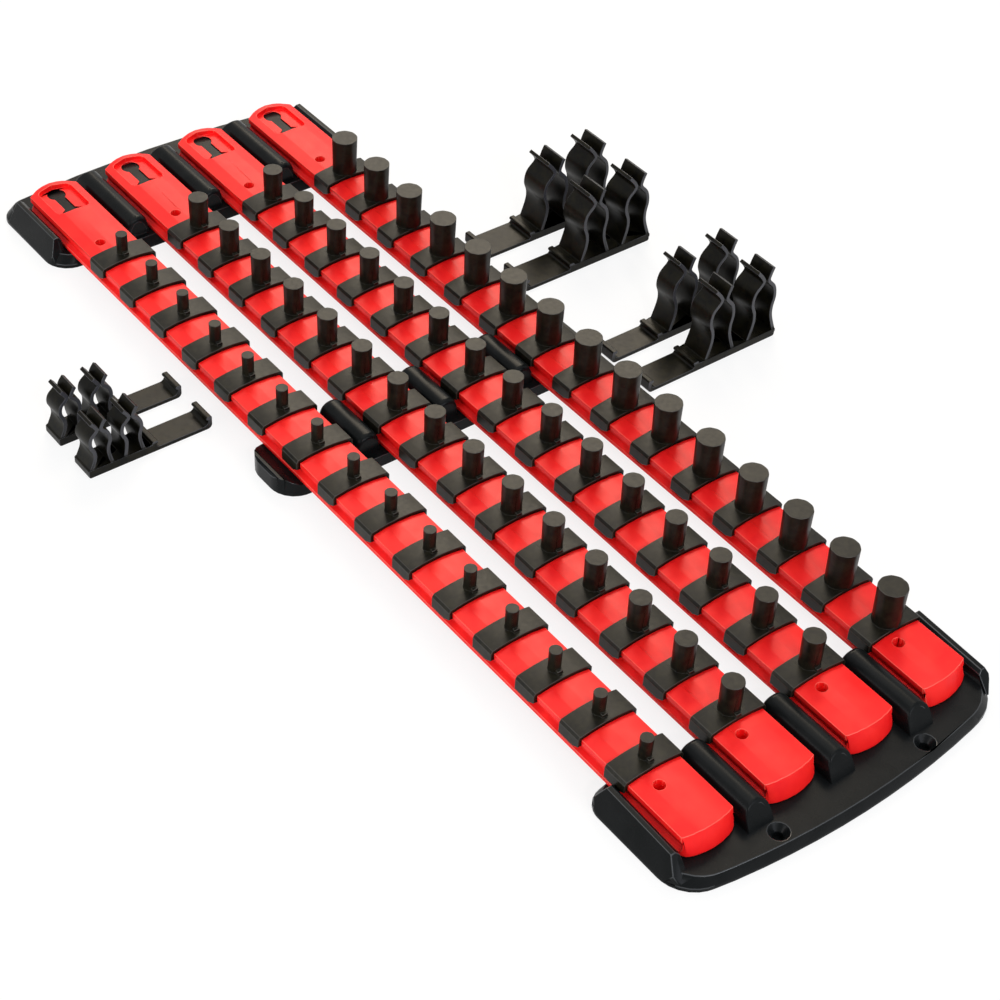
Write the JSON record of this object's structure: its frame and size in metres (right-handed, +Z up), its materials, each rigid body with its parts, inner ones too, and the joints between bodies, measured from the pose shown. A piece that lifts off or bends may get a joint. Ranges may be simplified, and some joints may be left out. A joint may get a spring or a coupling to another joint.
{
  "type": "socket rail",
  "caption": "Socket holder of red rails on black trays, with sliding post clips along each rail and loose tool clips with sprung fingers.",
  "frame": {"origin": "centre of the middle tray's underside, on the table", "axes": "+Y along the rails towards the keyhole ends, +X across the rails, +Z up"},
  "size_m": [0.3073, 0.5115, 0.0403],
  "materials": {
    "rail_red": "moulded red plastic with a soft shine and pale mottling",
    "clip_black": "fine-grained black plastic, brownish grey where lit from above",
    "tray_black": "fine-grained black plastic with smooth slopes",
    "tool_clip_black": "smooth black plastic"
  },
  "bodies": {
    "trays": {"front_tray": "tray_black", "middle_tray": "tray_black", "rear_tray": "tray_black"},
    "rail_1": {"rail_1": "rail_red"},
    "rail_2": {"rail_2": "rail_red"},
    "rail_3": {"rail_3": "rail_red"},
    "rail_4": {"rail_4": "rail_red"},
    "small_tool_clip_1": {"small_tool_clip_1": "tool_clip_black"},
    "small_tool_clip_2": {"small_tool_clip_2": "tool_clip_black"},
    "large_tool_clip_1": {"large_tool_clip_1": "tool_clip_black"},
    "large_tool_clip_2": {"large_tool_clip_2": "tool_clip_black"},
    "large_tool_clip_3": {"large_tool_clip_3": "tool_clip_black"},
    "large_tool_clip_4": {"large_tool_clip_4": "tool_clip_black"},
    "rail_1_clip_01_02": {"rail_1_clip_01_02": "clip_black"},
    "rail_1_clip_03_04": {"rail_1_clip_03_04": "clip_black"},
    "rail_1_clip_05_06": {"rail_1_clip_05_06": "clip_black"},
    "rail_1_clip_07": {"rail_1_clip_07": "clip_black"},
    "rail_1_clip_08": {"rail_1_clip_08": "clip_black"},
    "rail_1_clip_09": {"rail_1_clip_09": "clip_black"},
    "rail_1_clip_10": {"rail_1_clip_10": "clip_black"},
    "rail_1_clip_11": {"rail_1_clip_11": "clip_black"},
    "rail_1_clip_12": {"rail_1_clip_12": "clip_black"},
    "rail_1_clip_13": {"rail_1_clip_13": "clip_black"},
    "rail_1_clip_14": {"rail_1_clip_14": "clip_black"},
    "rail_1_clip_15": {"rail_1_clip_15": "clip_black"},
    "rail_2_clip_01_02": {"rail_2_clip_01_02": "clip_black"},
    "rail_2_clip_03_04": {"rail_2_clip_03_04": "clip_black"},
    "rail_2_clip_05_06": {"rail_2_clip_05_06": "clip_black"},
    "rail_2_clip_07": {"rail_2_clip_07": "clip_black"},
    "rail_2_clip_08": {"rail_2_clip_08": "clip_black"},
    "rail_2_clip_09": {"rail_2_clip_09": "clip_black"},
    "rail_2_clip_10": {"rail_2_clip_10": "clip_black"},
    "rail_2_clip_11": {"rail_2_clip_11": "clip_black"},
    "rail_2_clip_12": {"rail_2_clip_12": "clip_black"},
    "rail_2_clip_13": {"rail_2_clip_13": "clip_black"},
    "rail_2_clip_14": {"rail_2_clip_14": "clip_black"},
    "rail_2_clip_15": {"rail_2_clip_15": "clip_black"},
    "rail_3_clip_01_02": {"rail_3_clip_01_02": "clip_black"},
    "rail_3_clip_03_04": {"rail_3_clip_03_04": "clip_black"},
    "rail_3_clip_05_06": {"rail_3_clip_05_06": "clip_black"},
    "rail_3_clip_07": {"rail_3_clip_07": "clip_black"},
    "rail_3_clip_08": {"rail_3_clip_08": "clip_black"},
    "rail_3_clip_09": {"rail_3_clip_09": "clip_black"},
    "rail_3_clip_10": {"rail_3_clip_10": "clip_black"},
    "rail_3_clip_11": {"rail_3_clip_11": "clip_black"},
    "rail_3_clip_12": {"rail_3_clip_12": "clip_black"},
    "rail_3_clip_13": {"rail_3_clip_13": "clip_black"},
    "rail_3_clip_14": {"rail_3_clip_14": "clip_black"},
    "rail_3_clip_15": {"rail_3_clip_15": "clip_black"},
    "rail_4_clip_01_02": {"rail_4_clip_01_02": "clip_black"},
    "rail_4_clip_03_04": {"rail_4_clip_03_04": "clip_black"},
    "rail_4_clip_05_06": {"rail_4_clip_05_06": "clip_black"},
    "rail_4_clip_07_08": {"rail_4_clip_07_08": "clip_black"},
    "rail_4_clip_09": {"rail_4_clip_09": "clip_black"},
    "rail_4_clip_10": {"rail_4_clip_10": "clip_black"},
    "rail_4_clip_11": {"rail_4_clip_11": "clip_black"},
    "rail_4_clip_12": {"rail_4_clip_12": "clip_black"},
    "rail_4_clip_13": {"rail_4_clip_13": "clip_black"},
    "rail_4_clip_14": {"rail_4_clip_14": "clip_black"},
    "rail_4_clip_15": {"rail_4_clip_15": "clip_black"}
  },
  "joints": [
    {"name": "rail_1_lift", "type": "slide", "parent": "trays", "child": "rail_1", "axis": [0, 0, 1], "range_m": [0, 0.06]},
    {"name": "rail_2_lift", "type": "slide", "parent": "trays", "child": "rail_2", "axis": [0, 0, 1], "range_m": [0, 0.06]},
    {"name": "rail_3_lift", "type": "slide", "parent": "trays", "child": "rail_3", "axis": [0, 0, 1], "range_m": [0, 0.06]},
    {"name": "rail_4_lift", "type": "slide", "parent": "trays", "child": "rail_4", "axis": [0, 0, 1], "range_m": [0, 0.06]},
    {"name": "small_tool_clip_1_lift", "type": "slide", "parent": "trays", "child": "small_tool_clip_1", "axis": [0, 0, 1], "range_m": [0, 0.06]},
    {"name": "small_tool_clip_2_lift", "type": "slide", "parent": "trays", "child": "small_tool_clip_2", "axis": [0, 0, 1], "range_m": [0, 0.06]},
    {"name": "large_tool_clip_1_lift", "type": "slide", "parent": "trays", "child": "large_tool_clip_1", "axis": [0, 0, 1], "range_m": [0, 0.06]},
    {"name": "large_tool_clip_2_lift", "type": "slide", "parent": "trays", "child": "large_tool_clip_2", "axis": [0, 0, 1], "range_m": [0, 0.06]},
    {"name": "large_tool_clip_3_lift", "type": "slide", "parent": "trays", "child": "large_tool_clip_3", "axis": [0, 0, 1], "range_m": [0, 0.06]},
    {"name": "large_tool_clip_4_lift", "type": "slide", "parent": "trays", "child": "large_tool_clip_4", "axis": [0, 0, 1], "range_m": [0, 0.06]},
    {"name": "rail_1_clip_01_02_slide", "type": "slide", "parent": "rail_1", "child": "rail_1_clip_01_02", "axis": [0, 1, 0], "range_m": [-0.0072, 0.0072]},
    {"name": "rail_1_clip_03_04_slide", "type": "slide", "parent": "rail_1", "child": "rail_1_clip_03_04", "axis": [0, 1, 0], "range_m": [-0.0072, 0.0072]},
    {"name": "rail_1_clip_05_06_slide", "type": "slide", "parent": "rail_1", "child": "rail_1_clip_05_06", "axis": [0, 1, 0], "range_m": [-0.0072, 0.0072]},
    {"name": "rail_1_clip_07_slide", "type": "slide", "parent": "rail_1", "child": "rail_1_clip_07", "axis": [0, 1, 0], "range_m": [-0.0072, 0.0072]},
    {"name": "rail_1_clip_08_slide", "type": "slide", "parent": "rail_1", "child": "rail_1_clip_08", "axis": [0, 1, 0], "range_m": [-0.0072, 0.0072]},
    {"name": "rail_1_clip_09_slide", "type": "slide", "parent": "rail_1", "child": "rail_1_clip_09", "axis": [0, 1, 0], "range_m": [-0.0072, 0.0072]},
    {"name": "rail_1_clip_10_slide", "type": "slide", "parent": "rail_1", "child": "rail_1_clip_10", "axis": [0, 1, 0], "range_m": [-0.0072, 0.0072]},
    {"name": "rail_1_clip_11_slide", "type": "slide", "parent": "rail_1", "child": "rail_1_clip_11", "axis": [0, 1, 0], "range_m": [-0.0072, 0.0072]},
    {"name": "rail_1_clip_12_slide", "type": "slide", "parent": "rail_1", "child": "rail_1_clip_12", "axis": [0, 1, 0], "range_m": [-0.0072, 0.0072]},
    {"name": "rail_1_clip_13_slide", "type": "slide", "parent": "rail_1", "child": "rail_1_clip_13", "axis": [0, 1, 0], "range_m": [-0.0072, 0.0072]},
    {"name": "rail_1_clip_14_slide", "type": "slide", "parent": "rail_1", "child": "rail_1_clip_14", "axis": [0, 1, 0], "range_m": [-0.0072, 0.0072]},
    {"name": "rail_1_clip_15_slide", "type": "slide", "parent": "rail_1", "child": "rail_1_clip_15", "axis": [0, 1, 0], "range_m": [-0.0072, 0.0072]},
    {"name": "rail_2_clip_01_02_slide", "type": "slide", "parent": "rail_2", "child": "rail_2_clip_01_02", "axis": [0, 1, 0], "range_m": [-0.0072, 0.0072]},
    {"name": "rail_2_clip_03_04_slide", "type": "slide", "parent": "rail_2", "child": "rail_2_clip_03_04", "axis": [0, 1, 0], "range_m": [-0.0072, 0.0072]},
    {"name": "rail_2_clip_05_06_slide", "type": "slide", "parent": "rail_2", "child": "rail_2_clip_05_06", "axis": [0, 1, 0], "range_m": [-0.0072, 0.0072]},
    {"name": "rail_2_clip_07_slide", "type": "slide", "parent": "rail_2", "child": "rail_2_clip_07", "axis": [0, 1, 0], "range_m": [-0.0072, 0.0072]},
    {"name": "rail_2_clip_08_slide", "type": "slide", "parent": "rail_2", "child": "rail_2_clip_08", "axis": [0, 1, 0], "range_m": [-0.0072, 0.0072]},
    {"name": "rail_2_clip_09_slide", "type": "slide", "parent": "rail_2", "child": "rail_2_clip_09", "axis": [0, 1, 0], "range_m": [-0.0072, 0.0072]},
    {"name": "rail_2_clip_10_slide", "type": "slide", "parent": "rail_2", "child": "rail_2_clip_10", "axis": [0, 1, 0], "range_m": [-0.0072, 0.0072]},
    {"name": "rail_2_clip_11_slide", "type": "slide", "parent": "rail_2", "child": "rail_2_clip_11", "axis": [0, 1, 0], "range_m": [-0.0072, 0.0072]},
    {"name": "rail_2_clip_12_slide", "type": "slide", "parent": "rail_2", "child": "rail_2_clip_12", "axis": [0, 1, 0], "range_m": [-0.0072, 0.0072]},
    {"name": "rail_2_clip_13_slide", "type": "slide", "parent": "rail_2", "child": "rail_2_clip_13", "axis": [0, 1, 0], "range_m": [-0.0072, 0.0072]},
    {"name": "rail_2_clip_14_slide", "type": "slide", "parent": "rail_2", "child": "rail_2_clip_14", "axis": [0, 1, 0], "range_m": [-0.0072, 0.0072]},
    {"name": "rail_2_clip_15_slide", "type": "slide", "parent": "rail_2", "child": "rail_2_clip_15", "axis": [0, 1, 0], "range_m": [-0.0072, 0.0072]},
    {"name": "rail_3_clip_01_02_slide", "type": "slide", "parent": "rail_3", "child": "rail_3_clip_01_02", "axis": [0, 1, 0], "range_m": [-0.0072, 0.0072]},
    {"name": "rail_3_clip_03_04_slide", "type": "slide", "parent": "rail_3", "child": "rail_3_clip_03_04", "axis": [0, 1, 0], "range_m": [-0.0072, 0.0072]},
    {"name": "rail_3_clip_05_06_slide", "type": "slide", "parent": "rail_3", "child": "rail_3_clip_05_06", "axis": [0, 1, 0], "range_m": [-0.0072, 0.0072]},
    {"name": "rail_3_clip_07_slide", "type": "slide", "parent": "rail_3", "child": "rail_3_clip_07", "axis": [0, 1, 0], "range_m": [-0.0072, 0.0072]},
    {"name": "rail_3_clip_08_slide", "type": "slide", "parent": "rail_3", "child": "rail_3_clip_08", "axis": [0, 1, 0], "range_m": [-0.0072, 0.0072]},
    {"name": "rail_3_clip_09_slide", "type": "slide", "parent": "rail_3", "child": "rail_3_clip_09", "axis": [0, 1, 0], "range_m": [-0.0072, 0.0072]},
    {"name": "rail_3_clip_10_slide", "type": "slide", "parent": "rail_3", "child": "rail_3_clip_10", "axis": [0, 1, 0], "range_m": [-0.0072, 0.0072]},
    {"name": "rail_3_clip_11_slide", "type": "slide", "parent": "rail_3", "child": "rail_3_clip_11", "axis": [0, 1, 0], "range_m": [-0.0072, 0.0072]},
    {"name": "rail_3_clip_12_slide", "type": "slide", "parent": "rail_3", "child": "rail_3_clip_12", "axis": [0, 1, 0], "range_m": [-0.0072, 0.0072]},
    {"name": "rail_3_clip_13_slide", "type": "slide", "parent": "rail_3", "child": "rail_3_clip_13", "axis": [0, 1, 0], "range_m": [-0.0072, 0.0072]},
    {"name": "rail_3_clip_14_slide", "type": "slide", "parent": "rail_3", "child": "rail_3_clip_14", "axis": [0, 1, 0], "range_m": [-0.0072, 0.0072]},
    {"name": "rail_3_clip_15_slide", "type": "slide", "parent": "rail_3", "child": "rail_3_clip_15", "axis": [0, 1, 0], "range_m": [-0.0072, 0.0072]},
    {"name": "rail_4_clip_01_02_slide", "type": "slide", "parent": "rail_4", "child": "rail_4_clip_01_02", "axis": [0, 1, 0], "range_m": [-0.0072, 0.0072]},
    {"name": "rail_4_clip_03_04_slide", "type": "slide", "parent": "rail_4", "child": "rail_4_clip_03_04", "axis": [0, 1, 0], "range_m": [-0.0072, 0.0072]},
    {"name": "rail_4_clip_05_06_slide", "type": "slide", "parent": "rail_4", "child": "rail_4_clip_05_06", "axis": [0, 1, 0], "range_m": [-0.0072, 0.0072]},
    {"name": "rail_4_clip_07_08_slide", "type": "slide", "parent": "rail_4", "child": "rail_4_clip_07_08", "axis": [0, 1, 0], "range_m": [-0.0072, 0.0072]},
    {"name": "rail_4_clip_09_slide", "type": "slide", "parent": "rail_4", "child": "rail_4_clip_09", "axis": [0, 1, 0], "range_m": [-0.0072, 0.0072]},
    {"name": "rail_4_clip_10_slide", "type": "slide", "parent": "rail_4", "child": "rail_4_clip_10", "axis": [0, 1, 0], "range_m": [-0.0072, 0.0072]},
    {"name": "rail_4_clip_11_slide", "type": "slide", "parent": "rail_4", "child": "rail_4_clip_11", "axis": [0, 1, 0], "range_m": [-0.0072, 0.0072]},
    {"name": "rail_4_clip_12_slide", "type": "slide", "parent": "rail_4", "child": "rail_4_clip_12", "axis": [0, 1, 0], "range_m": [-0.0072, 0.0072]},
    {"name": "rail_4_clip_13_slide", "type": "slide", "parent": "rail_4", "child": "rail_4_clip_13", "axis": [0, 1, 0], "range_m": [-0.0072, 0.0072]},
    {"name": "rail_4_clip_14_slide", "type": "slide", "parent": "rail_4", "child": "rail_4_clip_14", "axis": [0, 1, 0], "range_m": [-0.0072, 0.0072]},
    {"name": "rail_4_clip_15_slide", "type": "slide", "parent": "rail_4", "child": "rail_4_clip_15", "axis": [0, 1, 0], "range_m": [-0.0072, 0.0072]}
  ]
}
